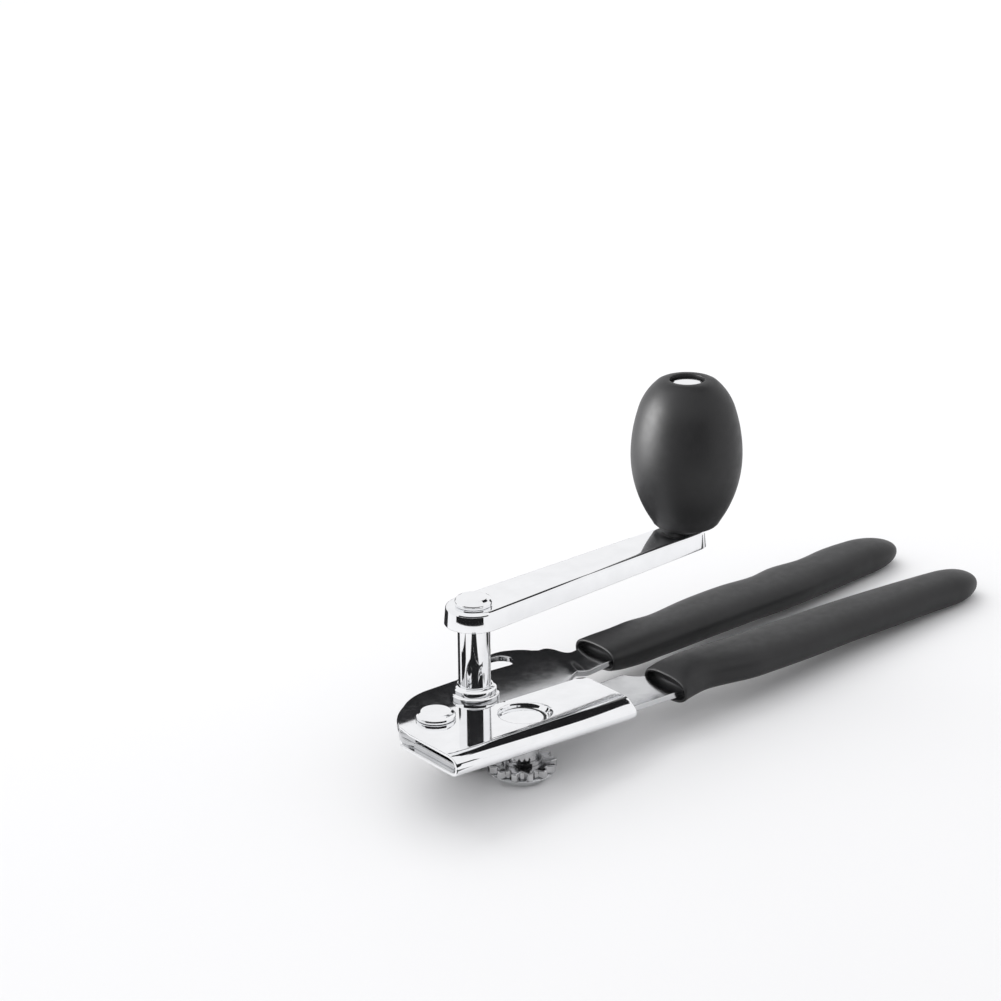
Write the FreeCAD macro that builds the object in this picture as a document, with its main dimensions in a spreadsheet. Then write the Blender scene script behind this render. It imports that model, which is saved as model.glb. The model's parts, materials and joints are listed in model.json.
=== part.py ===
import FreeCAD, Part
import math
import os

import Sketcher

# Hand-crank can opener, millimetres.
# It is built in the "plate frame": the origin is on the crank axis at the top face of the folded
# cover, X runs back along the levers, Y to the bottle-opener side and Z up along the crank axis.
# At the end everything is laid down on the table together, on both wheels and both grips.

V = FreeCAD.Vector

SIZES = {
    # sheet stack, from the top down: cover, far lever, near lever, cover again
    "cover_sheet": 1.2,
    "slide_gap": 0.15,
    "lever_sheet": 2.0,
    "strip_sheet": 2.1,
    "far_step_down": 2.6,
    # axes in the plate frame with the levers fully closed
    "pivot_x": -22.0,
    "pivot_y": -7.3,
    "cutter_x": 1.6,
    "cutter_y": -21.3,
    "spread_angle": 2.26,
    "running_gap": 0.05,
    "play": 0.1,
    # main pivot rivet
    "rivet_shank": 3.0,
    "rivet_head": 6.4,
    "rivet_head_rise": 2.4,
    "washer_sheet": 1.0,
    # tall post that carries the crank
    "post_radius": 5.3,
    "post_top": 27.9,
    "spindle_radius": 3.0,
    "spigot_radius": 4.5,
    "collar_radius": 8.0,
    "collar_step": 7.2,
    "ring_radius": 6.5,
    # crank arm
    "arm_top": 31.0,
    "arm_sheet": 1.5,
    "arm_flange": 6.5,
    "arm_length": 99.0,
    "arm_angle": 4.04,
    "hub_width": 9.6,
    "tip_width": 7.1,
    "hub_head": 6.1,
    "hub_head_rise": 2.7,
    # cutter dimple in the cover
    "dimple_radius": 8.2,
    "dimple_floor": 7.3,
    # gear pair and wheels
    "gear_teeth": 13,
    "gear_face": 2.8,
    "gear_top": -16.4,
    "addendum": 0.4,
    "dedendum": 1.7,
    "cutter_edge": 10.8,
    "cutter_foot": 7.6,
    "cutter_face": 2.9,
    "feed_radius": 10.9,
    "feed_face": 2.9,
    "feed_teeth": 30,
    # knob
    "knob_base": 32.1,
    "knob_top": 84.0,
    "knob_radius": 18.9,
    "knob_core": 8.0,
    "knob_pin": 2.5,
    "knob_recess": 5.9,
    # grips
    "grip_thick": 10.8,
    "grip_corner": 4.6,
    # lie of the whole opener on the table
    "pitch": 4.91,
    "roll": 1.35,
}

doc = FreeCAD.newDocument("CanOpener")
sheet = doc.addObject("Spreadsheet::Sheet", "dims")
for row, (name, value) in enumerate(SIZES.items(), start=1):
    sheet.set(f"A{row}", name)
    sheet.set(f"B{row}", str(value))
    sheet.setAlias(f"B{row}", name)
doc.recompute()


def size(name):
    return float(sheet.get(name))


# Heights of the sheets, as expressions on the sheet and as numbers
LEVER_TOP = "-dims.cover_sheet - dims.slide_gap"
LEVER_UNDER = LEVER_TOP + " - dims.lever_sheet"
STRIP_TOP = LEVER_UNDER + " - dims.slide_gap"
STRIP_UNDER = STRIP_TOP + " - dims.strip_sheet"
COVER_BOTTOM = STRIP_UNDER + " - dims.cover_sheet"

lever_top = -size("cover_sheet") - size("slide_gap")
lever_under = lever_top - size("lever_sheet")
strip_top = lever_under - size("slide_gap")
strip_under = strip_top - size("strip_sheet")
cover_bottom = strip_under - size("cover_sheet")
far_top = lever_top - size("far_step_down")
far_under = far_top - size("lever_sheet")

pivot = V(size("pivot_x"), size("pivot_y"), 0)
cutter = V(size("cutter_x"), size("cutter_y"), 0)
spread = FreeCAD.Placement(V(0, 0, 0), FreeCAD.Rotation(V(0, 0, 1), -size("spread_angle")), pivot)
cutter_at_rest = spread.multVec(cutter)
centre_distance = cutter_at_rest.Length
pitch_radius = centre_distance / 2

# Where each sub-part sits in the plate frame
AT_CRANK = FreeCAD.Placement()
AT_PIVOT = FreeCAD.Placement(pivot, FreeCAD.Rotation())
AT_CUTTER = spread.multiply(FreeCAD.Placement(cutter, FreeCAD.Rotation()))
ALONG_ARM = FreeCAD.Placement(V(0, 0, 0), FreeCAD.Rotation(V(0, 0, 1), size("arm_angle")))
AT_KNOB = ALONG_ARM.multiply(FreeCAD.Placement(V(size("arm_length"), 0, 0), FreeCAD.Rotation()))

pieces = []


def new_body(label, placement):
    body = doc.addObject("PartDesign::Body", label)
    body.Label = label
    pieces.append((body, placement))
    return body


def origin_plane(body, role):
    return next(f for f in body.Origin.OriginFeatures if f.Role == role)


def new_sketch(body, name, height="0", role="XY_Plane"):
    """A sketch on one of the body's own planes, moved along the plane's normal."""
    sketch = body.newObject("Sketcher::SketchObject", name)
    sketch.AttachmentSupport = [(origin_plane(body, role), "")]
    sketch.MapMode = "FlatFace"
    sketch.setExpression(".AttachmentOffset.Base.z", height)
    return sketch


def add_circle(sketch, radius, x=0.0, y=0.0):
    """A circle whose radius is an expression on the spreadsheet."""
    index = sketch.addGeometry(Part.Circle(V(x, y, 0), V(0, 0, 1), 1.0), False)
    if x == 0 and y == 0:
        sketch.addConstraint(Sketcher.Constraint("Coincident", index, 3, -1, 1))
    else:
        sketch.addConstraint(Sketcher.Constraint("DistanceX", -1, 1, index, 3, x))
        sketch.addConstraint(Sketcher.Constraint("DistanceY", -1, 1, index, 3, y))
    rule = sketch.addConstraint(Sketcher.Constraint("Radius", index, 1.0))
    sketch.setExpression(f"Constraints[{rule}]", radius)


def add_outline(sketch, start, *steps):
    """A closed outline: (x, y) is a straight step, (xm, ym, x, y) an arc through a middle point."""
    here = V(start[0], start[1], 0)
    for step in steps:
        there = V(step[-2], step[-1], 0)
        if len(step) == 4:
            edge = Part.Arc(here, V(step[0], step[1], 0), there)
        else:
            edge = Part.LineSegment(here, there)
        sketch.addGeometry(edge, False)
        here = there


def pad(body, sketch, length, name="Pad"):
    feature = body.newObject("PartDesign::Pad", name)
    feature.Profile = sketch
    feature.setExpression("Length", length)
    sketch.Visibility = False
    doc.recompute()
    return feature


def pocket(body, sketch, depth, name="Pocket", upward=False):
    """A pocket cut downwards from the sketch, or upwards; it must take material away."""
    before = body.Shape.Volume
    feature = body.newObject("PartDesign::Pocket", name)
    feature.Profile = sketch
    feature.setExpression("Length", depth)
    feature.Reversed = upward
    doc.recompute()
    if body.Shape.Volume >= before - 1e-6:
        raise RuntimeError(f"{body.Label}: {name} cuts nothing")
    return feature


def turned(label, placement, corners, bound=()):
    """A turned piece: (radius, height) corners revolved about Z; bound pairs tie a corner's radius."""
    body = new_body(label, placement)
    sketch = new_sketch(body, "Profile", role="XZ_Plane")
    points = [V(r, z, 0) for r, z in corners]
    for here, there in zip(points, points[1:] + points[:1]):
        sketch.addGeometry(Part.LineSegment(here, there), False)
    count = len(points)
    for i in range(count):
        sketch.addConstraint(Sketcher.Constraint("Coincident", i, 2, (i + 1) % count, 1))
    for i, alias in bound:
        rule = sketch.addConstraint(Sketcher.Constraint("DistanceX", -1, 1, i, 1, points[i].x))
        sketch.setExpression(f"Constraints[{rule}]", alias)
    turn = body.newObject("PartDesign::Revolution", "Turn")
    turn.Profile = sketch
    turn.ReferenceAxis = (sketch, ["V_Axis"])
    turn.Angle = 360
    doc.recompute()
    return body


def ring(label, placement, bottom, top, inner, outer):
    """A plain washer, spacer or tube; inner and outer are expressions."""
    body = new_body(label, placement)
    sketch = new_sketch(body, "Ring", height=str(bottom))
    add_circle(sketch, outer)
    add_circle(sketch, inner)
    pad(body, sketch, str(top - bottom))
    return body


def bevelled_head(radius, bottom, rise, bevel=1.0):
    """Corners of a rivet head from its under-edge to its flat top, on the axis."""
    return [(radius, bottom), (radius, bottom + 0.35 * rise),
            (radius - bevel, bottom + 0.85 * rise), (radius - 1.8 * bevel, bottom + rise),
            (0, bottom + rise)]


# ---------------------------------------------------------------- far lever and its fittings

# Far lever in plan: from the front end along the bottle-opener side, and back along the other
LEVER_FRONT = [(-34.8, -12.5), (-34.8, -5.3), (-31.2, 1.2, -22.3, 9.2),
               (-16.6, 12.7, -9.1, 14.6), (10.4, 15.0)]
NOTCH = [(13.0, 13.9, 17.8, 13.7), (24.4, 13.2), (29.7, 17.5, 26.2, 21.7), (24.6, 21.9)]
HOOK = [(23.6, 22.9, 25.0, 23.9), (29.2, 24.3, 33.5, 22.8), (36.6, 20.9, 39.2, 17.9)]
LEVER_BACK = [(30.0, -10.6), (14.0, -12.0), (-8.0, -12.2), (-14.5, -15.4),
              (-25.0, -18.2, -34.8, -12.5)]
NECK_START = 41.0
NECK_BEND = 48.0
NECK_OUTER = 16.5
NECK_INNER = -4.0
# The tang in its grip: a wide root up to tang_root, then a narrower blade with a round end
TANG_ROOT = 63.0
TANG_WIDE_LOW = -1.6
TANG_WIDE_HIGH = 14.6
TANG_LOW = 2.4
TANG_HIGH = 13.4
TANG_END = [(164.0, TANG_HIGH), (169.5, 7.9, 164.0, TANG_LOW)]
THROUGH = "20"


def bottle_opener_lever():
    """Far lever: the flat head with the bottle notch, and the tang that steps down to the grip."""
    body = new_body("bottle_opener_lever", AT_CRANK)
    head = new_sketch(body, "Head", height=LEVER_UNDER)
    add_outline(head, *LEVER_FRONT, *NOTCH, *HOOK, (NECK_START, NECK_OUTER),
                (NECK_START, NECK_INNER), *LEVER_BACK)
    pad(body, head, "dims.lever_sheet", "HeadPad")
    step = new_sketch(body, "Step", height=str(-(NECK_OUTER + NECK_INNER) / 2), role="XZ_Plane")
    lap = NECK_START - 1.0
    add_outline(step, (lap, lever_under), (lap, lever_top), (NECK_START, lever_top),
                (NECK_BEND, far_top), (TANG_ROOT, far_top), (TANG_ROOT, far_under),
                (NECK_BEND, far_under), (NECK_START, lever_under), (lap, lever_under))
    neck = body.newObject("PartDesign::Pad", "NeckPad")
    neck.Profile = step
    neck.Length = NECK_OUTER - NECK_INNER
    neck.Midplane = True
    doc.recompute()
    waist = new_sketch(body, "Waist", height="0")
    mouth = 57.0
    beyond = TANG_ROOT + 1.0
    add_outline(waist, (NECK_START, NECK_OUTER), (46.5, 16.0), (49.9, 13.7, 52.4, 12.9),
                (mouth, TANG_WIDE_HIGH), (beyond, TANG_WIDE_HIGH), (beyond, NECK_OUTER + 1.0),
                (NECK_START, NECK_OUTER + 1.0), (NECK_START, NECK_OUTER))
    add_outline(waist, (NECK_START, NECK_INNER), (mouth, TANG_WIDE_LOW), (beyond, TANG_WIDE_LOW),
                (beyond, NECK_INNER - 1.0), (NECK_START, NECK_INNER - 1.0),
                (NECK_START, NECK_INNER))
    pocket(body, waist, THROUGH, "WaistCut")
    tang = new_sketch(body, "Tang", height=f"{far_under}")
    start = TANG_ROOT - 2.0
    add_outline(tang, (start, TANG_LOW), (start, TANG_HIGH), *TANG_END, (start, TANG_LOW))
    pad(body, tang, "dims.lever_sheet", "TangPad")
    holes = new_sketch(body, "Holes", height="0")
    add_circle(holes, "dims.spigot_radius")
    add_circle(holes, "dims.rivet_shank", pivot.x, pivot.y)
    pocket(body, holes, THROUGH, "HolesCut")
    return body


def grip(label, placement, stations, tang_under, tang_sheet, tang_outline):
    """A soft sleeve lofted through rounded sections, with a slot that fits its tang.

    Each station is (x, near side, far side, middle height, share of the full thickness).
    """
    body = new_body(label, placement)
    half = size("grip_thick") / 2
    sections = []
    for i, (x, low, high, middle, share) in enumerate(stations):
        section = new_sketch(body, f"Section{i}", height=str(x), role="YZ_Plane")
        add_rounded_box(section, low, high, middle - half * share, middle + half * share,
                        size("grip_corner") * share)
        sections.append(section)
    loft = body.newObject("PartDesign::AdditiveLoft", "Sleeve")
    loft.Profile = sections[0]
    loft.Sections = sections[1:]
    doc.recompute()
    slot = new_sketch(body, "Slot", height=str(tang_under))
    add_outline(slot, *tang_outline)
    pocket(body, slot, tang_sheet, "SlotCut", upward=True)
    return body


def add_rounded_box(sketch, x0, x1, y0, y1, corner):
    """A rectangle with round corners as four lines and four true arcs."""
    r = min(corner, 0.49 * (x1 - x0), 0.49 * (y1 - y0))
    k = r * (1 - math.sqrt(0.5))
    add_outline(sketch, (x0 + r, y0),
                (x1 - r, y0), (x1 - k, y0 + k, x1, y0 + r),
                (x1, y1 - r), (x1 - k, y1 - k, x1 - r, y1),
                (x0 + r, y1), (x0 + k, y1 - k, x0, y1 - r),
                (x0, y0 + r), (x0 + k, y0 + k, x0 + r, y0))


def far_grip():
    """Soft grip of the far lever, with shallow finger waves on its outer edge."""
    stations = [(57.6, -3.1, 17.2, -4.8, 0.82), (63.0, -3.1, 17.6, -5.2, 0.93),
                (72.0, -3.0, 17.8, -5.4, 1.0), (80.0, -2.9, 18.2, -5.2, 1.0),
                (89.0, -2.8, 17.0, -4.95, 1.0), (107.0, -2.8, 18.9, -4.4, 1.0),
                (124.0, -2.7, 19.1, -3.95, 1.0), (137.0, -3.0, 17.4, -3.55, 1.0),
                (148.0, -2.9, 18.7, -3.25, 1.0), (160.0, -1.9, 17.0, -2.9, 1.0),
                (174.0, -1.0, 18.2, -2.5, 1.0), (187.0, -0.1, 17.0, -2.1, 0.97),
                (195.0, 0.8, 15.2, -1.9, 0.86), (200.3, 3.4, 12.0, -1.8, 0.5)]
    before = NECK_START
    tang = [(before, TANG_WIDE_LOW), (before, TANG_WIDE_HIGH), (TANG_ROOT, TANG_WIDE_HIGH),
            (TANG_ROOT, TANG_HIGH), *TANG_END, (TANG_ROOT, TANG_LOW),
            (TANG_ROOT, TANG_WIDE_LOW), (before, TANG_WIDE_LOW)]
    return grip("far_grip", AT_CRANK, stations, far_under, "dims.lever_sheet", tang)


# The near lever's flat strip in plan, from its front corner anticlockwise
NEAR_STRIP = [(-34.0, -34.4), (60.0, -33.4), (62.0, -32.0), (146.0, -31.2),
              (151.6, -25.6, 146.0, -20.0), (62.0, -20.6), (60.0, -17.0),
              (55.2, -15.4, 52.0, -10.8), (46.0, -11.4), (-6.0, -12.2),
              (-13.2, 0.4, -26.0, 2.4), (-33.6, -3.4, -34.0, -12.0), (-34.0, -34.4)]


def near_lever():
    """Near lever: a flat strip clamped in the folded cover, with its tang in the near grip."""
    body = new_body("near_lever", spread)
    strip = new_sketch(body, "Strip", height=STRIP_UNDER)
    add_outline(strip, *NEAR_STRIP)
    pad(body, strip, "dims.strip_sheet")
    holes = new_sketch(body, "Holes", height="0")
    add_circle(holes, "dims.rivet_shank + dims.running_gap", pivot.x, pivot.y)
    add_circle(holes, "dims.spindle_radius", cutter.x, cutter.y)
    pocket(body, holes, THROUGH, "HolesCut")
    return body


def near_grip():
    """Soft grip of the near lever, flared at its mouth."""
    stations = [(57.5, -36.7, -15.1, -4.0, 0.84), (62.0, -35.6, -15.1, -3.2, 0.95),
                (70.0, -34.3, -15.2, -2.6, 1.0), (76.0, -35.0, -15.3, -2.5, 1.0),
                (88.0, -37.5, -15.4, -2.3, 1.0), (96.0, -37.6, -15.5, -2.2, 1.0),
                (113.0, -37.2, -15.4, -2.0, 1.0), (133.0, -35.9, -15.0, -1.75, 1.0),
                (152.0, -35.2, -15.5, -1.5, 1.0), (172.0, -34.2, -16.6, -1.3, 1.0),
                (188.0, -33.8, -18.0, -1.1, 0.97), (194.5, -32.4, -19.2, -1.0, 0.86),
                (198.2, -29.2, -22.2, -1.0, 0.5)]
    return grip("near_grip", spread, stations, strip_under, "dims.strip_sheet", NEAR_STRIP)


def folded_cover():
    """Chrome cover folded round the near edge, with the dimple that takes the cutter axle."""
    body = new_body("folded_cover", spread)
    front = -35.8
    rear = 36.5
    near = -37.2
    outer = -cover_bottom / 2
    fold = near + outer
    top = new_sketch(body, "TopSheet", height="-dims.cover_sheet")
    add_outline(top, (front, fold), (rear, fold), (rear, -15.3),
                (rear - 0.7, -11.5, rear - 3.2, -10.1), (3.4, -10.2),
                (-3.6, -9.2, -8.6, -4.6), (-10.2, -2.6), (-15.6, 2.0, -22.0, 3.6),
                (-30.6, 0.6, front + 1.0, -5.6), (front, -12.0), (front, fold))
    pad(body, top, "dims.cover_sheet", "TopPad")
    bottom = new_sketch(body, "BottomSheet", height=COVER_BOTTOM)
    add_outline(bottom, (front, fold), (rear, fold), (rear, -16.0), (rear - 3.0, -13.0),
                (-6.0, -12.6), (-13.4, 0.2, -22.0, 3.0), (-31.0, -0.4, front + 1.0, -6.6),
                (front, fold))
    pad(body, bottom, "dims.cover_sheet", "BottomPad")
    edge = new_sketch(body, "Fold", height=str(front), role="YZ_Plane")
    inner = outer - size("cover_sheet")
    add_outline(edge, (fold, 0), (fold - outer, -outer, fold, cover_bottom),
                (fold, -outer - inner), (fold - inner, -outer, fold, -outer + inner), (fold, 0))
    pad(body, edge, str(rear - front), "FoldPad")
    opening = new_sketch(body, "DimpleOpening", height="0.5")
    add_circle(opening, "dims.dimple_radius", cutter.x, cutter.y)
    pocket(body, opening, "dims.cover_sheet + 0.5", "DimpleCut")
    add_dimple(body)
    holes = new_sketch(body, "Holes", height="0.5")
    add_circle(holes, "dims.rivet_shank + dims.running_gap", pivot.x, pivot.y)
    add_circle(holes, "dims.spindle_radius", cutter.x, cutter.y)
    pocket(body, holes, THROUGH, "HolesCut")
    return body


def add_dimple(body):
    """A round dish turned about the cutter axis, from the cover's top down to the near lever."""
    dish = new_sketch(body, "DimpleDish", height=str(-cutter.y), role="XZ_Plane")
    rim = cutter.x + size("dimple_radius")
    floor = cutter.x + size("dimple_floor")
    middle = cutter.x + size("spindle_radius")
    sheet_under = -size("cover_sheet")
    dish_top = strip_top + size("cover_sheet")
    wall = 0.3
    add_outline(dish, (middle, strip_top), (floor + 2 * wall, strip_top),
                (rim + wall, sheet_under), (rim + wall, 0), (rim - wall, 0),
                (floor, dish_top), (middle, dish_top), (middle, strip_top))
    axis = new_sketch(body, "CutterAxis", height=str(-cutter.y), role="XZ_Plane")
    axis.addGeometry(Part.LineSegment(V(cutter.x, -5, 0), V(cutter.x, 5, 0)), False)
    turn = body.newObject("PartDesign::Revolution", "Dimple")
    turn.Profile = dish
    turn.ReferenceAxis = (axis, ["Edge1"])
    turn.Angle = 360
    doc.recompute()


def pivot_rivet():
    """Main rivet: both levers swing on its shank."""
    head = size("rivet_head")
    shank = size("rivet_shank")
    tail = cover_bottom - size("play") - size("washer_sheet")
    corners = [(0, tail - 1.4), (4.4, tail - 1.4), (5.0, tail - 0.6), (5.0, tail), (shank, tail),
               (shank, size("play"))]
    corners += bevelled_head(head, size("play"), size("rivet_head_rise"), 1.3)
    return turned("pivot_rivet", AT_PIVOT, corners, bound=((4, "dims.rivet_shank"),))


def pivot_washer():
    """Washer between the cover's lower sheet and the rivet's tail."""
    top = cover_bottom - size("play")
    return ring("pivot_washer", AT_PIVOT, top - size("washer_sheet"), top,
                "dims.rivet_shank", "dims.rivet_head")


# ---------------------------------------------------------------- crank post, spindle and arm

def crank_post():
    """Fixed tube on the far lever; its spigot goes through the lever and down to the gear."""
    bore = size("spindle_radius") + size("running_gap")
    post = size("post_radius")
    spigot = size("spigot_radius")
    corners = [(bore, size("gear_top") + 1.3), (spigot, size("gear_top") + 1.3), (spigot, lever_top),
               (post, lever_top), (post, size("post_top")), (bore, size("post_top"))]
    return turned("crank_post", AT_CRANK, corners, bound=((3, "dims.post_radius"),))


def post_collar():
    """Two-step collar round the foot of the post."""
    wide = size("collar_radius")
    step = size("collar_step")
    corners = [(size("post_radius"), lever_top), (wide, lever_top), (wide, 0.6), (wide - 0.4, 1.0),
               (step, 1.0), (step, 3.0), (step - 0.6, 3.5), (size("post_radius"), 3.5)]
    return turned("post_collar", AT_CRANK, corners, bound=((0, "dims.post_radius"),))


def post_lock_ring():
    """Ring pressed on the spigot under the far lever."""
    return ring("post_lock_ring", AT_CRANK, lever_under - 1.6, lever_under,
                "dims.spigot_radius", "dims.ring_radius")


def crank_spindle():
    """Turning shaft inside the post, riveted over the crank arm."""
    shaft = size("spindle_radius")
    foot = feed_under - 0.3
    corners = [(0, foot), (shaft, foot), (shaft, size("arm_top"))]
    corners += bevelled_head(size("hub_head"), size("arm_top"), size("hub_head_rise"), 1.2)
    return turned("crank_spindle", AT_CRANK, corners, bound=((1, "dims.spindle_radius"),))


def hub_spacer():
    """Spacer under the arm's web, on top of the post."""
    return ring("hub_spacer", AT_CRANK, size("post_top") + size("play"),
                size("arm_top") - size("arm_sheet"), "dims.spindle_radius", "dims.post_radius")


def arm_outline(sketch, inset):
    """Two round ends joined by their common tangents."""
    length = size("arm_length")
    hub = size("hub_width") - inset
    tip = size("tip_width") - inset
    lean = math.asin((hub - tip) / length)
    hub_x, hub_y = hub * math.sin(lean), hub * math.cos(lean)
    tip_x, tip_y = length + tip * math.sin(lean), tip * math.cos(lean)
    add_outline(sketch, (hub_x, hub_y), (-hub, 0, hub_x, -hub_y), (tip_x, -tip_y),
                (length + tip, 0, tip_x, tip_y), (hub_x, hub_y))


def crank_arm():
    """Pressed channel: a flat web with a flange all round, folded downwards."""
    body = new_body("crank_arm", ALONG_ARM)
    solid = new_sketch(body, "Outside", height="dims.arm_top - dims.arm_flange")
    arm_outline(solid, 0.0)
    pad(body, solid, "dims.arm_flange", "Channel")
    hollow = new_sketch(body, "Inside", height="dims.arm_top - dims.arm_flange")
    arm_outline(hollow, size("arm_sheet"))
    pocket(body, hollow, "dims.arm_flange - dims.arm_sheet", "Hollow", upward=True)
    holes = new_sketch(body, "Holes", height="dims.arm_top")
    add_circle(holes, "dims.spindle_radius")
    add_circle(holes, "dims.knob_pin", size("arm_length"), 0)
    pocket(body, holes, "dims.arm_sheet * 2", "HolesCut")
    return body


# ---------------------------------------------------------------- gears and wheels

gear_under = size("gear_top") - size("gear_face")
feed_under = gear_under - 0.3 - size("feed_face")
nip_angle = math.degrees(math.atan2(cutter_at_rest.y, cutter_at_rest.x))
tooth_pitch = 360 / size("gear_teeth")


def gear(label, placement, bore, first_tooth):
    """Spur gear: a root disc with one straight-flanked tooth repeated round it."""
    body = new_body(label, placement)
    root = pitch_radius - size("dedendum")
    tip = pitch_radius + size("addendum")
    disc = new_sketch(body, "RootDisc", height="dims.gear_top - dims.gear_face")
    add_circle(disc, str(root))
    add_circle(disc, bore)
    pad(body, disc, "dims.gear_face", "Disc")
    tooth = new_sketch(body, "Tooth", height="dims.gear_top - dims.gear_face")
    turn = FreeCAD.Rotation(V(0, 0, 1), first_tooth)
    half_root, half_tip = 1.75, 0.65
    corners = [V(root - 1.0, -half_root, 0), V(root, -half_root, 0), V(tip, -half_tip, 0),
               V(tip, half_tip, 0), V(root, half_root, 0), V(root - 1.0, half_root, 0)]
    flat = [(c.x, c.y) for c in (turn.multVec(corner) for corner in corners)]
    add_outline(tooth, flat[0], *flat[1:], flat[0])
    first = pad(body, tooth, "dims.gear_face", "ToothPad")
    teeth = body.newObject("PartDesign::PolarPattern", "Teeth")
    teeth.Originals = [first]
    teeth.Axis = (disc, ["N_Axis"])
    teeth.Angle = 360
    teeth.setExpression("Occurrences", "dims.gear_teeth")
    body.Tip = teeth
    doc.recompute()
    return body


def drive_gear():
    """Gear on the crank spindle, with a tooth pointing at the cutter axle."""
    return gear("drive_gear", AT_CRANK, "dims.spindle_radius", nip_angle)


def cutter_gear():
    """Gear beside it on the cutter axle, with a gap facing that tooth."""
    facing = nip_angle + 180 + size("spread_angle") + tooth_pitch / 2
    return gear("cutter_gear", AT_CUTTER, "dims.spindle_radius + dims.running_gap", facing)


def cutting_wheel():
    """Conical cutting wheel: sharp edge against the gear, foot recessed for the axle's end."""
    bore = size("spindle_radius") + size("running_gap")
    edge = size("cutter_edge")
    foot = size("cutter_foot")
    top = gear_under
    low = top - size("cutter_face")
    corners = [(bore, top), (edge - 0.8, top), (edge, top - 0.35), (foot, low),
               (5.4, low), (5.4, low + 1.3), (bore, low + 1.3)]
    return turned("cutting_wheel", AT_CUTTER, corners, bound=((3, "dims.cutter_foot"),))


def cutter_axle():
    """Fixed axle: flat head down in the dimple, end riveted inside the cutting wheel's foot."""
    shank = size("spindle_radius")
    foot = gear_under - size("cutter_face")
    head = strip_top + size("cover_sheet")
    wide = size("dimple_floor") - 0.5
    corners = [(0, foot + 0.2), (5.0, foot + 0.2), (5.0, foot + 1.2), (shank, foot + 1.2),
               (shank, head), (wide, head), (wide, head + 0.3), (wide - 0.4, head + 0.5),
               (0, head + 0.5)]
    return turned("cutter_axle", AT_CUTTER, corners, bound=((4, "dims.spindle_radius"),))


def cutter_spacer():
    """Tube that holds the cutter gear down to the level of the drive gear."""
    return ring("cutter_spacer", AT_CUTTER, size("gear_top") + 1.3, cover_bottom,
                "dims.spindle_radius", "dims.post_radius")


def spring_washer(label, placement):
    """Thin washer between a gear and the fixed tube above it."""
    low = size("gear_top") + size("play")
    return ring(label, placement, low, low + 1.1, "dims.spindle_radius + dims.running_gap",
                "dims.ring_radius")


def cutter_washer():
    return spring_washer("cutter_washer", AT_CUTTER)


def drive_washer():
    return spring_washer("drive_washer", AT_CRANK)


def feed_wheel():
    """Serrated wheel that grips the can's rim and drives it past the cutter."""
    body = new_body("feed_wheel", AT_CRANK)
    star = new_sketch(body, "Serrations", height=str(feed_under))
    count = int(size("feed_teeth"))
    tip = size("feed_radius")
    rim = []
    for i in range(2 * count):
        angle = math.pi * i / count
        reach = tip if i % 2 == 0 else tip - 0.8
        rim.append((reach * math.cos(angle), reach * math.sin(angle)))
    add_outline(star, rim[0], *rim[1:], rim[0])
    pad(body, star, "dims.feed_face", "Wheel")
    bore = new_sketch(body, "Bore", height=str(feed_under))
    add_circle(bore, "dims.spindle_radius")
    pocket(body, bore, "dims.feed_face", "BoreCut", upward=True)
    return body


def feed_spacer():
    """Thin disc between the drive gear and the feed wheel."""
    return ring("feed_spacer", AT_CRANK, gear_under - 0.3, gear_under,
                "dims.spindle_radius", "dims.ring_radius")


def feed_retainer():
    """Ring pressed on the spindle's end below the feed wheel."""
    return ring("feed_retainer", AT_CRANK, feed_under - 0.3, feed_under,
                "dims.spindle_radius", "dims.post_radius")


# ---------------------------------------------------------------- turning knob

def knob_grip():
    """Soft egg-shaped knob with a round recess in its top."""
    body = new_body("knob_grip", AT_KNOB)
    base = size("knob_base")
    top = size("knob_top")
    widest = size("knob_radius")
    core = size("knob_core")
    recess = size("knob_recess")
    belly = base + 25.5
    recess_floor = top - 4.0
    profile = new_sketch(body, "Profile", role="XZ_Plane")
    add_outline(profile, (core, base + 0.3), (9.2, base + 0.3),
                (10.7, base + 1.1, 11.7, base + 2.4), (16.6, base + 11.9, widest, belly),
                (18.2, top - 18.0, 16.7, top - 11.5), (14.3, top - 5.8, 10.2, top - 1.0),
                (8.5, top - 0.2, recess + 0.7, top), (recess, top - 0.6),
                (recess, recess_floor), (core, recess_floor), (core, base + 0.3))
    turn = body.newObject("PartDesign::Revolution", "Egg")
    turn.Profile = profile
    turn.ReferenceAxis = (profile, ["V_Axis"])
    turn.Angle = 360
    doc.recompute()
    return body


def knob_core():
    """Hard core moulded inside the soft knob; it turns on the knob pin."""
    bush = size("knob_pin") + 1.7
    base = size("knob_base")
    top = size("knob_top") - 4.0
    corners = [(bush, base), (size("knob_core"), base), (size("knob_core"), top), (bush, top)]
    return turned("knob_core", AT_KNOB, corners, bound=((1, "dims.knob_core"),))


def knob_bush(label, bottom, top):
    """Plain bush between the core and the pin."""
    return ring(label, AT_KNOB, bottom, top, "dims.knob_pin + dims.running_gap",
                "dims.knob_pin + 1.7")


def knob_lower_bush():
    return knob_bush("knob_lower_bush", size("knob_base"), size("knob_base") + 9.0)


def knob_upper_bush():
    return knob_bush("knob_upper_bush", size("knob_top") - 13.0, size("knob_top") - 4.0)


def knob_pin():
    """Pin riveted in the arm's end; its bright head sits down in the knob's recess."""
    pin = size("knob_pin")
    web = size("arm_top") - size("arm_sheet")
    seat = size("knob_top") - 2.9
    head = size("knob_recess") - 0.5
    corners = [(0, web - 1.3), (3.6, web - 1.3), (4.1, web - 0.8), (4.1, web), (pin, web),
               (pin, seat), (head, seat), (head, seat + 1.3), (head - 0.5, seat + 1.8),
               (0, seat + 1.8)]
    return turned("knob_pin", AT_KNOB, corners, bound=((4, "dims.knob_pin"),))


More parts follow.
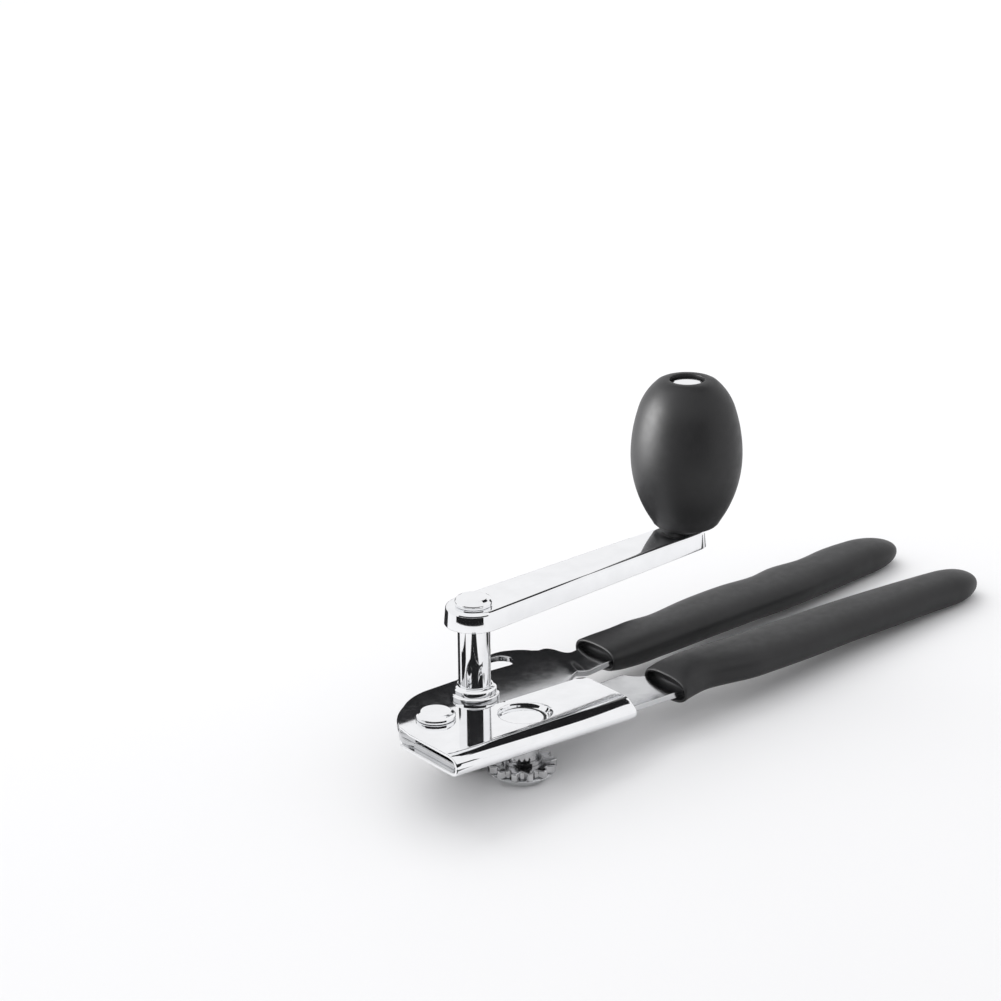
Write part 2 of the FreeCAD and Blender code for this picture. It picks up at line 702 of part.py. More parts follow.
def knob_base_washer():
    """Washer between the arm and the foot of the knob."""
    return ring("knob_base_washer", AT_KNOB, size("arm_top"), size("knob_base") - size("play"),
                "dims.knob_pin", "dims.ring_radius")


def knob_top_washer():
    """Washer under the pin's head."""
    floor = size("knob_top") - 4.0
    return ring("knob_top_washer", AT_KNOB, floor + size("play"), floor + 1.0,
                "dims.knob_pin", "4.8")


for make in (bottle_opener_lever, far_grip, near_lever, near_grip, folded_cover, pivot_rivet,
             pivot_washer, crank_post, post_collar, post_lock_ring, crank_spindle, hub_spacer,
             crank_arm, drive_gear, cutter_gear, cutting_wheel, cutter_axle, cutter_spacer,
             cutter_washer, drive_washer, feed_wheel, feed_spacer, feed_retainer, knob_grip,
             knob_core, knob_lower_bush, knob_upper_bush, knob_pin, knob_base_washer,
             knob_top_washer):
    make()

# ---------------------------------------------------------------- lay it on the table

tilt = FreeCAD.Placement(V(0, 0, 0), FreeCAD.Rotation(V(0, 1, 0), size("pitch")).multiply(
    FreeCAD.Rotation(V(1, 0, 0), size("roll"))))
for body, placement in pieces:
    body.Placement = tilt.multiply(placement)
doc.recompute()
box = Part.makeCompound([body.Shape for body, placement in pieces]).optimalBoundingBox(False, False)
lay_down = FreeCAD.Placement(
    V(-(box.XMin + box.XMax) / 2, -(box.YMin + box.YMax) / 2, -box.ZMin), FreeCAD.Rotation())
for body, placement in pieces:
    body.Placement = lay_down.multiply(tilt).multiply(placement)
doc.recompute()

for item in doc.Objects:
    if "Invalid" in item.State or "Error" in item.State:
        raise RuntimeError(f"{item.Label} failed: {item.State}")
os.makedirs("parts", exist_ok=True)
for body, placement in pieces:
    if body.Shape.isNull() or not body.Shape.isValid():
        raise RuntimeError(f"{body.Label} has a bad shape")
    body.Shape.exportStep(f"parts/{body.Label}.step")
    print(f"{body.Label}: {body.Shape.Volume:.0f} mm3, {len(body.Shape.Solids)} solid")
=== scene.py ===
import json
import math

import bmesh
import bpy
from mathutils import Matrix, Vector
from mathutils.geometry import delaunay_2d_cdt


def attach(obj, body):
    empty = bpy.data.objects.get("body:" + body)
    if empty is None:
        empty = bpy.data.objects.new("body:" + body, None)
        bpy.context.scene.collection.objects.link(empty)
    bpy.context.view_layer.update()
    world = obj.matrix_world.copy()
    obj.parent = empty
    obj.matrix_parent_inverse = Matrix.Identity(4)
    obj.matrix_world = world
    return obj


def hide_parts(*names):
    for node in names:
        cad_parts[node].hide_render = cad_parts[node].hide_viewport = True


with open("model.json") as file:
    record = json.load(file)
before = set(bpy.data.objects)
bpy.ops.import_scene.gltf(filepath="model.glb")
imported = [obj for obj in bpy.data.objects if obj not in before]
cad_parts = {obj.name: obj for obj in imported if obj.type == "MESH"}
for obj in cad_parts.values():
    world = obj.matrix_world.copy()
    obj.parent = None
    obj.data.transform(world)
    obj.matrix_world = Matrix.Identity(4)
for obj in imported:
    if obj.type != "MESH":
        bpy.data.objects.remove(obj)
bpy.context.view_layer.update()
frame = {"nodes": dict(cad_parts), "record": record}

# Hand-crank can opener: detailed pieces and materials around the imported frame.
# Pieces are drawn in the "plate frame" in millimetres: the origin is on the crank axis at the
# top of the folded cover, X runs back along the levers and Z up along the crank axis.

MM = 0.001


# ---------------------------------------------------------------- frames

joints = {j["name"]: j for j in frame["record"]["behaviour"]["joints"]}


def joint_at(name):
    return Vector(joints[name]["pos_m"])


# The plate frame from the part's own joints: the crank axis is Z, and the pivot rivet lies at PIVOT
PIVOT = Vector((-22.0, -7.3, 0.0))
up = Vector(joints["crank_turn"]["axis"]).normalized()
to_pivot = joint_at("lever_hinge") - joint_at("crank_turn")
to_pivot = (to_pivot - up * to_pivot.dot(up)).normalized()
x_axis = Matrix.Rotation(-math.atan2(PIVOT.y, PIVOT.x), 3, up) @ to_pivot
y_axis = up.cross(x_axis)
PLATE = Matrix.Translation(joint_at("crank_turn")) @ Matrix(
    (x_axis, y_axis, up)).transposed().to_4x4() @ Matrix.Scale(MM, 4)
TO_PLATE = PLATE.inverted()
# The cover, the strip and the near grip are drawn square, then turned about the pivot by SPREAD
SPREAD = math.radians(-2.26)
SWUNG = Matrix.Translation(PIVOT) @ Matrix.Rotation(SPREAD, 4, "Z") @ Matrix.Translation(-PIVOT)
NEAR = PLATE @ SWUNG
cutter_rest = TO_PLATE @ joint_at("cutter_turn")
knob_rest = TO_PLATE @ joint_at("knob_turn")
AT_PIVOT = PLATE @ Matrix.Translation(PIVOT)
AT_CUTTER = PLATE @ Matrix.Translation((cutter_rest.x, cutter_rest.y, 0))
AT_KNOB = PLATE @ Matrix.Translation((knob_rest.x, knob_rest.y, 0))
arm_length = math.hypot(knob_rest.x, knob_rest.y)
ALONG_ARM = PLATE @ Matrix.Rotation(math.atan2(knob_rest.y, knob_rest.x), 4, "Z")
cutter_closed = SWUNG.inverted() @ Vector((cutter_rest.x, cutter_rest.y, 0))

# Heights and thicknesses of the pressed sheets
COVER_SHEET = 1.2
LEVER_TOP = -1.35
LEVER_SHEET = 2.0
TANG_TOP = -3.95
STRIP_TOP = -3.5
STRIP_SHEET = 2.1
COVER_BOTTOM = -6.8
ARM_TOP = 31.0
ARM_SHEET = 1.5

# Radii that several pieces share
AXLE = 3.0
AXLE_BORE = 3.05
TIGHT_BORE = 2.9
KNOB_PIN = 2.5

# ---------------------------------------------------------------- curves


def arc(start, middle, end, gap):
    """Points on the circle through three points, after the start, up to the end."""
    ax, ay = start
    bx, by = middle
    cx, cy = end
    d = 2 * (ax * (by - cy) + bx * (cy - ay) + cx * (ay - by))
    a2, b2, c2 = ax * ax + ay * ay, bx * bx + by * by, cx * cx + cy * cy
    ox = (a2 * (by - cy) + b2 * (cy - ay) + c2 * (ay - by)) / d
    oy = (a2 * (cx - bx) + b2 * (ax - cx) + c2 * (bx - ax)) / d
    r = math.hypot(ax - ox, ay - oy)
    a0 = math.atan2(ay - oy, ax - ox)
    a1 = math.atan2(by - oy, bx - ox)
    a2 = math.atan2(cy - oy, cx - ox)
    sweep = (a2 - a0) % math.tau
    if (a1 - a0) % math.tau > sweep:
        sweep -= math.tau
    count = max(3, math.ceil(abs(sweep) * r / gap))
    turns = [a0 + sweep * i / count for i in range(1, count + 1)]
    return [(ox + r * math.cos(t), oy + r * math.sin(t)) for t in turns]


def trace(start, *steps, gap=0.6):
    """An outline: (x, y) is a straight step, (xm, ym, x, y) an arc through a middle point."""
    points = [start]
    for step in steps:
        if len(step) == 4:
            points += arc(points[-1], step[:2], step[2:], gap)
        else:
            points.append(step)
    return points


def spaced(points, gap, closed=True):
    """The same line with extra points, none further apart than gap."""
    ends = points[1:] + points[:1] if closed else points[1:]
    out = []
    for (x0, y0), (x1, y1) in zip(points, ends):
        count = max(1, math.ceil(math.hypot(x1 - x0, y1 - y0) / gap))
        out += [(x0 + (x1 - x0) * i / count, y0 + (y1 - y0) * i / count) for i in range(count)]
    return out if closed else out + [points[-1]]


NEARLY_STRAIGHT = math.radians(168)
SIDE_SHARE = 0.45


def fillet(points, radius, count=4, closed=True):
    """Rounds the corners of a line; a rounding takes at most SIDE_SHARE of the sides it joins."""
    n = len(points)
    out = []
    for i, corner in enumerate(points):
        if not closed and i in (0, n - 1):
            out.append(corner)
            continue
        here = Vector(corner)
        back = Vector(points[i - 1]) - here
        ahead = Vector(points[(i + 1) % n]) - here
        if back.length < 1e-6 or ahead.length < 1e-6:
            continue
        turn = back.angle(ahead)
        if turn > NEARLY_STRAIGHT:
            out.append(corner)
            continue
        reach = min(radius / math.tan(turn / 2), SIDE_SHARE * back.length,
                    SIDE_SHARE * ahead.length)
        p0 = here + back.normalized() * reach
        p2 = here + ahead.normalized() * reach
        for k in range(count + 1):
            t = k / count
            q = p0 * (1 - t) ** 2 + here * 2 * t * (1 - t) + p2 * t * t
            out.append((q.x, q.y))
    return out


def area(points):
    """Area of a closed line, positive when it runs anticlockwise."""
    return sum(x0 * y1 - x1 * y0 for (x0, y0), (x1, y1) in
               zip(points, points[1:] + points[:1])) / 2


MITRE_LIMIT = 0.6


def inset(points, depth):
    """A closed anticlockwise line moved inwards by depth, with the mitres of sharp corners cut."""
    out = []
    n = len(points)
    for i, (x, y) in enumerate(points):
        x0, y0 = points[i - 1]
        x1, y1 = points[(i + 1) % n]
        a = Vector((-(y - y0), x - x0)).normalized()
        b = Vector((-(y1 - y), x1 - x)).normalized()
        mean = (a + b).normalized()
        stretch = 1 / max(MITRE_LIMIT, mean.dot(a))
        out.append((x + mean.x * depth * stretch, y + mean.y * depth * stretch))
    return out


def inside(point, polygon):
    x, y = point
    hit = False
    for (x0, y0), (x1, y1) in zip(polygon, polygon[1:] + polygon[:1]):
        if (y0 > y) != (y1 > y) and x < x0 + (y - y0) * (x1 - x0) / (y1 - y0):
            hit = not hit
    return hit


def circle(x, y, radius, count=48):
    return [(x + radius * math.cos(math.tau * i / count),
             y + radius * math.sin(math.tau * i / count)) for i in range(count)]


def smooth(t):
    """0 below 0, 1 above 1 and an S-shaped curve between."""
    t = min(1.0, max(0.0, t))
    return t * t * (3 - 2 * t)


def through(knots, x):
    """Value at x of a smooth line through (x, value) knots, each value a number or tuple."""
    if x <= knots[0][0]:
        return knots[0][1]
    if x >= knots[-1][0]:
        return knots[-1][1]
    i = next(k for k in range(1, len(knots)) if x <= knots[k][0])
    x0, x1 = knots[i - 1][0], knots[i][0]
    before = knots[max(0, i - 2)]
    after = knots[min(len(knots) - 1, i + 1)]
    t = (x - x0) / (x1 - x0)

    def blend(a, b, c, d):
        m0 = (c - a) / max(1e-6, x1 - before[0]) * (x1 - x0)
        m1 = (d - b) / max(1e-6, after[0] - x0) * (x1 - x0)
        return ((2 * t ** 3 - 3 * t * t + 1) * b + (t ** 3 - 2 * t * t + t) * m0
                + (3 * t * t - 2 * t ** 3) * c + (t ** 3 - t * t) * m1)

    rows = (before[1], knots[i - 1][1], knots[i][1], after[1])
    if isinstance(rows[0], tuple):
        return tuple(blend(*column) for column in zip(*rows))
    return blend(*rows)


# ---------------------------------------------------------------- mesh building


def piece(name, mesh, body, material, replaces=(), weighted=True):
    """Finishes a piece: material, shading, and what it rides on and stands for."""
    for face in mesh.polygons:
        face.use_smooth = True
    mesh.materials.append(material)
    obj = bpy.data.objects.new(name, mesh)
    bpy.context.scene.collection.objects.link(obj)
    if weighted:
        normals = obj.modifiers.new("Normals", "WEIGHTED_NORMAL")
        normals.weight = 80
    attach(obj, body)
    if replaces:
        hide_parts(*replaces)


def mesh_from(name, verts, faces, matrix):
    """A mesh from points carried by matrix, its seams joined and its faces turned outwards."""
    mesh = bpy.data.meshes.new(name)
    mesh.from_pydata([matrix @ Vector(v) for v in verts], [], faces)
    bm = bmesh.new()
    bm.from_mesh(mesh)
    bmesh.ops.remove_doubles(bm, verts=bm.verts, dist=1e-7)
    bmesh.ops.recalc_face_normals(bm, faces=bm.faces)
    bm.to_mesh(mesh)
    bm.free()
    return mesh


def lathe(name, matrix, profile, turns=96):
    """A (radius, height) line turned round Z; ends on the axis are closed with fans."""
    verts, faces, rows = [], [], []
    for r, z in profile:
        if r < 1e-4:
            rows.append([len(verts)])
            verts.append((0, 0, z))
        else:
            rows.append(list(range(len(verts), len(verts) + turns)))
            verts += [(x, y, z) for x, y in circle(0, 0, r, turns)]
    for low, high in zip(rows, rows[1:]):
        for i in range(turns):
            j = (i + 1) % turns
            if len(low) == 1 and len(high) > 1:
                faces.append((low[0], high[i], high[j]))
            elif len(high) == 1 and len(low) > 1:
                faces.append((low[i], low[j], high[0]))
            elif len(low) > 1:
                faces.append((low[i], low[j], high[j], high[i]))
    return mesh_from(name, verts, faces, matrix)


def tube_lathe(name, matrix, profile, turns=96):
    """Like lathe, for a closed profile that never touches the axis."""
    return lathe(name, matrix, profile + profile[:1], turns)


RIM_STEPS = 4
SLOPE_STEP = 0.05
GRID_CLEARANCE = 0.35


def sheet(name, matrix, outline, thickness, surface, holes=(), edge=0.3, grid=2.5, extra=(),
          clear=None):
    """Sheet metal with rounded edges: a flat outline carried onto surface(u, v) and thickened.

    The outline is triangulated with a regular grid of inner points; its rims and the rims of its
    holes are rounded with the edge radius. Extra points add detail where the sheet bends; the
    regular grid keeps out of the places where clear(u, v) is true.
    """
    if area(outline) < 0:
        outline = outline[::-1]
    holes = [hole if area(hole) > 0 else hole[::-1] for hole in holes]

    def at(u, v, depth):
        p = Vector(surface(u, v))
        du = Vector(surface(u + SLOPE_STEP, v)) - Vector(surface(u - SLOPE_STEP, v))
        dv = Vector(surface(u, v + SLOPE_STEP)) - Vector(surface(u, v - SLOPE_STEP))
        return p - du.cross(dv).normalized() * depth

    # Vectors are single precision, so the inside test below uses points rounded the same way
    flat_outline = [tuple(Vector(p)) for p in inset(outline, edge)]
    flat_holes = [[tuple(Vector(p)) for p in inset(hole, -edge)] for hole in holes]
    points, edges = [], []
    for loop in [flat_outline] + flat_holes:
        first = len(points)
        points += loop
        edges += [(first + i, first + (i + 1) % len(loop)) for i in range(len(loop))]
    xs = [p[0] for p in outline]
    ys = [p[1] for p in outline]
    margin = inset(outline, edge + GRID_CLEARANCE * grid)
    keep_out = [inset(hole, -edge - GRID_CLEARANCE * grid) for hole in holes]
    inner = [(min(xs) + grid * i, min(ys) + grid * j)
             for i in range(1, int((max(xs) - min(xs)) / grid) + 1)
             for j in range(1, int((max(ys) - min(ys)) / grid) + 1)]
    if clear:
        inner = [p for p in inner if not clear(*p)]
    inner = [p for p in inner + list(extra) if inside(p, margin)
             and not any(inside(p, hole) for hole in keep_out)]
    flat, _, tris, _, _, _ = delaunay_2d_cdt(
        [Vector(p) for p in points + inner], edges, [], 0, 1e-5)
    flat = [tuple(p) for p in flat]
    kept = []
    for tri in tris:
        centre = (sum(flat[i][0] for i in tri) / 3, sum(flat[i][1] for i in tri) / 3)
        if inside(centre, flat_outline) and not any(inside(centre, h) for h in flat_holes):
            kept.append(tri)
    count = len(flat)
    verts = [at(u, v, 0) for u, v in flat] + [at(u, v, thickness) for u, v in flat]
    faces = list(kept) + [tuple(i + count for i in reversed(tri)) for tri in kept]
    rims = [(outline, 1)] + [(hole, -1) for hole in holes]
    for loop, side in rims:
        rings = []
        for k in range(2 * RIM_STEPS + 2):
            lower = k > RIM_STEPS
            angle = math.pi / 2 * (k if not lower else 2 * RIM_STEPS + 1 - k) / RIM_STEPS
            back = edge * (1 - math.sin(angle))
            depth = edge * (1 - math.cos(angle))
            ring = inset(loop, side * back)
            rings.append([at(u, v, thickness - depth if lower else depth) for u, v in ring])
        n = len(loop)
        start = len(verts)
        for ring in rings:
            verts += ring
        for k in range(len(rings) - 1):
            for i in range(n):
                j = (i + 1) % n
                a = start + k * n
                faces.append((a + i, a + n + i, a + n + j, a + j))
    return mesh_from(name, verts, faces, matrix)


def level(z):
    """The surface of a flat sheet at one height."""
    return lambda u, v: (u, v, z)


def loft(name, matrix, sections):
    """Rings of points joined one to the next, with a cap at each end."""
    n = len(sections[0])
    verts = [p for section in sections for p in section]
    faces = []
    for k in range(len(sections) - 1):
        for i in range(n):
            j = (i + 1) % n
            faces.append((k * n + i, k * n + j, (k + 1) * n + j, (k + 1) * n + i))
    faces.append(tuple(reversed(range(n))))
    faces.append(tuple(range((len(sections) - 1) * n, len(sections) * n)))
    return mesh_from(name, verts, faces, matrix)


# ---------------------------------------------------------------- materials


class Shader:
    """A small helper for a node material with one Principled shader."""

    def __init__(self, name):
        self.material = bpy.data.materials.new(name)
        self.material.use_nodes = True
        self.nodes = self.material.node_tree.nodes
        self.links = self.material.node_tree.links
        self.shader = self.nodes["Principled BSDF"]
        self.place = self.nodes.new("ShaderNodeTexCoord").outputs["Object"]

    def noise(self, scale, detail, roughness=0.5, stretch=None):
        node = self.nodes.new("ShaderNodeTexNoise")
        node.inputs["Scale"].default_value = scale
        node.inputs["Detail"].default_value = detail
        node.inputs["Roughness"].default_value = roughness
        source = self.place
        if stretch:
            mapping = self.nodes.new("ShaderNodeMapping")
            mapping.inputs["Scale"].default_value = stretch
            self.links.new(source, mapping.inputs["Vector"])
            source = mapping.outputs["Vector"]
        self.links.new(source, node.inputs["Vector"])
        return node.outputs["Fac"]

    def cells(self, scale):
        node = self.nodes.new("ShaderNodeTexVoronoi")
        node.inputs["Scale"].default_value = scale
        self.links.new(self.place, node.inputs["Vector"])
        return node.outputs["Distance"]

    def spread(self, value, low, high):
        """A noise value, which mostly lies between 0.3 and 0.7, carried to low..high."""
        node = self.nodes.new("ShaderNodeMapRange")
        node.inputs["From Min"].default_value = 0.3
        node.inputs["From Max"].default_value = 0.7
        node.inputs["To Min"].default_value = low
        node.inputs["To Max"].default_value = high
        self.links.new(value, node.inputs["Value"])
        return node.outputs["Result"]

    def tint(self, value, dark, light, start=0.35, end=0.65):
        """Base colour between two shades."""
        node = self.nodes.new("ShaderNodeValToRGB")
        node.color_ramp.elements[0].position = start
        node.color_ramp.elements[0].color = (*dark, 1)
        node.color_ramp.elements[1].position = end
        node.color_ramp.elements[1].color = (*light, 1)
        self.links.new(value, node.inputs["Fac"])
        self.links.new(node.outputs["Color"], self.shader.inputs["Base Color"])

    def bump(self, *layers):
        """Each layer is (value, height in mm, strength)."""
        normal = None
        for value, height, strength in layers:
            node = self.nodes.new("ShaderNodeBump")
            node.inputs["Strength"].default_value = strength
            node.inputs["Distance"].default_value = height * MM
            self.links.new(value, node.inputs["Height"])
            if normal:
                self.links.new(normal, node.inputs["Normal"])
            normal = node.outputs["Normal"]
        self.links.new(normal, self.shader.inputs["Normal"])


def chrome(name, dark, light, rough, wave):
    """Bright plating: faint ripple of the pressed sheet, fine polish marks and a little haze."""
    s = Shader(name)
    s.shader.inputs["Metallic"].default_value = 1.0
    s.tint(s.noise(140, 4), dark, light)
    s.links.new(s.spread(s.noise(420, 5), rough[0], rough[1]), s.shader.inputs["Roughness"])
    s.bump((s.noise(75, 2, 0.4), 0.03, wave), (s.noise(2600, 2), 0.0012, 0.25))
    return s.material


def steel(name, dark, light, rough, stretch):
    """Pressed or ground steel with a drawn grain."""
    s = Shader(name)
    s.shader.inputs["Metallic"].default_value = 1.0
    s.tint(s.noise(260, 5), dark, light)
    grain = s.noise(900, 4, 0.6, stretch)
    s.links.new(s.spread(grain, rough[0], rough[1]), s.shader.inputs["Roughness"])
    s.bump((grain, 0.01, 0.2), (s.noise(160, 2), 0.04, 0.3))
    return s.material


def rubber(name, dark, light):
    """Soft matt moulding with a fine sandblasted grain."""
    s = Shader(name)
    s.tint(s.noise(70, 5), dark, light, 0.3, 0.75)
    s.links.new(s.spread(s.noise(320, 4), 0.42, 0.50), s.shader.inputs["Roughness"])
    s.shader.inputs["Specular IOR Level"].default_value = 0.42
    s.bump((s.noise(3200, 3, 0.6), 0.03, 0.5), (s.cells(5200), 0.02, 0.3))
    return s.material


def plastic(name, dark, light):
    """Hard moulding, as the knob's core."""
    s = Shader(name)
    s.tint(s.noise(90, 4), dark, light)
    s.links.new(s.spread(s.noise(500, 3), 0.35, 0.45), s.shader.inputs["Roughness"])
    s.bump((s.noise(1800, 2), 0.01, 0.3))
    return s.material


CHROME = chrome("Chrome", (0.90, 0.905, 0.915), (0.94, 0.945, 0.955), (0.03, 0.06), 0.10)
LEVER_CHROME = chrome("LeverChrome", (0.55, 0.555, 0.565), (0.61, 0.615, 0.625), (0.10, 0.16),
                      0.12)
STEEL = steel("PlatedSteel", (0.46, 0.46, 0.465), (0.62, 0.62, 0.63), (0.08, 0.14), (1, 1, 6))
BLADE = steel("BladeSteel", (0.70, 0.71, 0.72), (0.84, 0.85, 0.86), (0.07, 0.16), (1, 1, 9))
RUBBER = rubber("SoftBlack", (0.009, 0.009, 0.0095), (0.013, 0.013, 0.014))
PLASTIC = plastic("HardPlastic", (0.03, 0.03, 0.03), (0.06, 0.06, 0.06))
BY_SLOT = {"chrome": CHROME, "lever_chrome": LEVER_CHROME, "plain_steel": STEEL,
           "blade_steel": BLADE, "soft_black": RUBBER, "hard_plastic": PLASTIC}

for row in frame["record"]["subparts"]:
    cad = frame["nodes"][row["node"]]
    cad.data.materials.clear()
    cad.data.materials.append(BY_SLOT[row["material_slot"]])

# ---------------------------------------------------------------- far lever

# The step down to the tang starts STEP_START behind the crank axis, and further back towards +Y
STEP_START = 37.45
STEP_SLANT = 0.30
STEP_RUN = 10.5
STEP_FRONT = 32.0
STEP_BACK = 54.0
POST_HOLE = 4.4


def far_height(x, y):
    """The lever's top: flat, then an oblique soft step down to the tang."""
    line = STEP_START + STEP_SLANT * y
    return LEVER_TOP + (TANG_TOP - LEVER_TOP) * smooth((x - line) / STEP_RUN)


def far_surface(u, v):
    return (u, v, far_height(u, v))


def in_step(u, v):
    """Where the step's own points do without the regular grid."""
    return STEP_FRONT < u < STEP_BACK


far_outline = trace(
    (-34.8, -12.5), (-25.0, -18.2, -14.5, -15.4), (-8.0, -12.2), (14.0, -12.0), (30.0, -10.6),
    (41.0, -4.0), (57.0, -1.6), (72.0, -1.4), (72.0, 14.4), (57.0, 14.6),
    (54.6, 13.3, 52.0, 12.9), (49.9, 13.7, 47.6, 15.6), (44.5, 16.4, 41.0, 16.5),
    (39.2, 17.9), (36.6, 20.9, 33.5, 22.8), (29.2, 24.3, 25.0, 23.9),
    (23.6, 22.9, 24.6, 21.9), (26.2, 21.7), (29.7, 17.5, 24.4, 13.2), (17.8, 13.7),
    (13.0, 13.9, 10.4, 15.0), (-9.1, 14.6), (-16.6, 12.7, -22.3, 9.2),
    (-31.2, 1.2, -34.8, -5.3))
far_outline = spaced(fillet(far_outline, 1.2), 1.2)
step_grid = [(STEP_FRONT + 1 + 0.8 * i, -9 + 1.1 * j) for i in range(26) for j in range(24)]
piece("far_lever_plate",
      sheet("far_lever_plate", PLATE, far_outline, LEVER_SHEET, far_surface, edge=0.35, grid=2.0,
            holes=(circle(0, 0, POST_HOLE), circle(PIVOT.x, PIVOT.y, TIGHT_BORE)),
            extra=step_grid, clear=in_step),
      "far_handle", LEVER_CHROME, ("bottle_opener_lever",))

# ---------------------------------------------------------------- folded cover

COVER_FRONT = -35.8
COVER_REAR = 36.5
COVER_NEAR = -37.2
FOLD_TOP = -31.2
FOLD_BOTTOM = -33.8
FOLD_RUN = 11.0
UNDER_START = FOLD_TOP - FOLD_RUN
DIMPLE = Vector((cutter_closed.x + 0.6, cutter_closed.y - 0.5))
DIMPLE_RIM = 8.5
DIMPLE_FLOOR = 7.85
DIMPLE_DEPTH = 1.95
# Towards this side the dimple's wall runs out softly, over DIMPLE_RUN_OUT more
DIMPLE_LEAN = Vector((0.97, -0.24))
DIMPLE_RUN_OUT = 1.3


def fold_line(x, t):
    """(y, z) of the cover's outer face across the fold, t from 0 at the top to 1 underneath."""
    share = smooth((x - COVER_FRONT) / (COVER_REAR - COVER_FRONT))
    knots = [(0.0, (FOLD_TOP, 0.0)), (0.14, (FOLD_TOP - 1.6, -0.02 - 0.3 * share)),
             (0.34, (COVER_NEAR + 1.75, -0.65 - 1.2 * share)),
             (0.48, (COVER_NEAR + 0.4, -2.1 - 0.9 * share)),
             (0.62, (COVER_NEAR, -4.2)), (0.78, (COVER_NEAR + 0.6, -5.9)),
             (0.9, (COVER_NEAR + 1.9, -6.68)), (1.0, (FOLD_BOTTOM, COVER_BOTTOM))]
    return through(knots, t)


def dimple_drop(x, y):
    """How far the cover's top is pressed down at a point, round the cutter's axle."""
    away = Vector((x, y)) - DIMPLE
    reach = away.length
    lean = max(0.0, away.normalized().dot(DIMPLE_LEAN)) if reach > 0.1 else 0.0
    rim = DIMPLE_RIM + DIMPLE_RUN_OUT * lean ** 3
    return DIMPLE_DEPTH * smooth((rim - reach) / (rim - DIMPLE_FLOOR))


def cover_surface(u, v):
    """Outer face of the cover from its flat pattern: top sheet, fold, then the underside."""
    if v >= FOLD_TOP:
        return (u, v, -dimple_drop(u, v))
    if v > UNDER_START:
        y, z = fold_line(u, (FOLD_TOP - v) / FOLD_RUN)
        return (u, y, z)
    return (u, FOLD_BOTTOM + (UNDER_START - v), COVER_BOTTOM)


def flat_of(y):
    """Flat-pattern v of the underside's y."""
    return UNDER_START - (y - FOLD_BOTTOM)


cover_outline = trace(
    (COVER_FRONT, flat_of(-6.6)), (COVER_FRONT, -12.0), (-34.8, -5.6),
    (-30.6, 0.6, -22.0, 3.6), (-15.6, 2.0, -10.2, -2.6), (-8.6, -4.6),
    (-3.6, -9.2, 3.4, -10.2), (COVER_REAR - 3.2, -10.1),
    (COVER_REAR - 0.7, -11.5, COVER_REAR, -15.3), (COVER_REAR, flat_of(-16.0)),
    (COVER_REAR - 3.0, flat_of(-13.0)), (-6.0, flat_of(-12.6)),
    (-13.4, flat_of(0.2), -22.0, flat_of(3.0)),
    (-31.0, flat_of(-0.4), COVER_FRONT + 1.0, flat_of(-6.6)))
cover_outline = spaced(fillet(cover_outline, 1.0), 1.1)
dimple_rings = [p for k in range(28) for p in circle(DIMPLE.x, DIMPLE.y, 7.5 + 0.1 * k, 96)
                if p[1] > FOLD_TOP + 0.5]
fold_grid = [(COVER_FRONT + 0.8 + 1.18 * i, FOLD_TOP + 0.3 - (FOLD_RUN + 0.6) * j / 44)
             for i in range(61) for j in range(45)]


def in_fine_mesh(u, v):
    """Where the fold's and the dimple's own points do without the regular grid."""
    near_dimple = (Vector((u, v)) - DIMPLE).length < 11.0
    return near_dimple or UNDER_START - 1.2 < v < FOLD_TOP + 1.0


# Both sheets of the cover are bored for the pivot rivet and for the cutter's axle
cover_holes = [circle(x, v, AXLE_BORE) for x, y in (PIVOT.xy, cutter_closed.xy)
               for v in (y, flat_of(y))]
piece("cover_shell",
      sheet("cover_shell", NEAR, cover_outline, COVER_SHEET, cover_surface, holes=cover_holes,
            edge=0.3, grid=2.4, extra=dimple_rings + fold_grid, clear=in_fine_mesh),
      "near_handle", CHROME, ("folded_cover",))

# ---------------------------------------------------------------- near lever strip

strip_outline = trace(
    (-34.0, -34.0), (60.0, -33.4), (62.0, -32.0), (146.0, -31.2),
    (151.6, -25.6, 146.0, -20.0), (62.0, -20.6), (60.0, -17.0), (55.2, -15.4, 52.0, -10.8),
    (46.0, -11.4), (-6.0, -12.2), (-13.2, 0.4, -26.0, 2.4), (-33.6, -3.4, -34.0, -12.0),
    gap=1.6)
strip_outline = spaced(fillet(strip_outline, 1.0), 2.0)
piece("near_strip",
      sheet("near_strip", NEAR, strip_outline, STRIP_SHEET, level(STRIP_TOP), edge=0.35, grid=6.0,
            holes=(circle(PIVOT.x, PIVOT.y, AXLE_BORE),
                   circle(cutter_closed.x, cutter_closed.y, TIGHT_BORE))),
      "near_handle", LEVER_CHROME, ("near_lever",))

# ---------------------------------------------------------------- turned fittings


def turned(name, matrix, corners, body, slot, replaces, radius):
    """A turned piece from (radius, height) corners, each slightly rounded; starts on the axis."""
    profile = fillet(corners, radius, 3, closed=False)
    piece(name, lathe(name, matrix, profile), body, BY_SLOT[slot], replaces)


def ringed(name, matrix, corners, body, slot, replaces, radius=0.25, turns=96):
    """A turned piece with a bore: its corners form a closed line."""
    profile = fillet(corners, radius, 3)
    piece(name, tube_lathe(name, matrix, profile, turns), body, BY_SLOT[slot], replaces)


def capped(radius, foot, rise):
    """Corners of a rivet head: upright shoulder, sloping crown and a flat top."""
    return [(radius, foot), (radius, foot + 0.5 * rise), (radius - 0.55, foot + 0.82 * rise),
            (radius - 1.5, foot + rise), (0, foot + rise)]


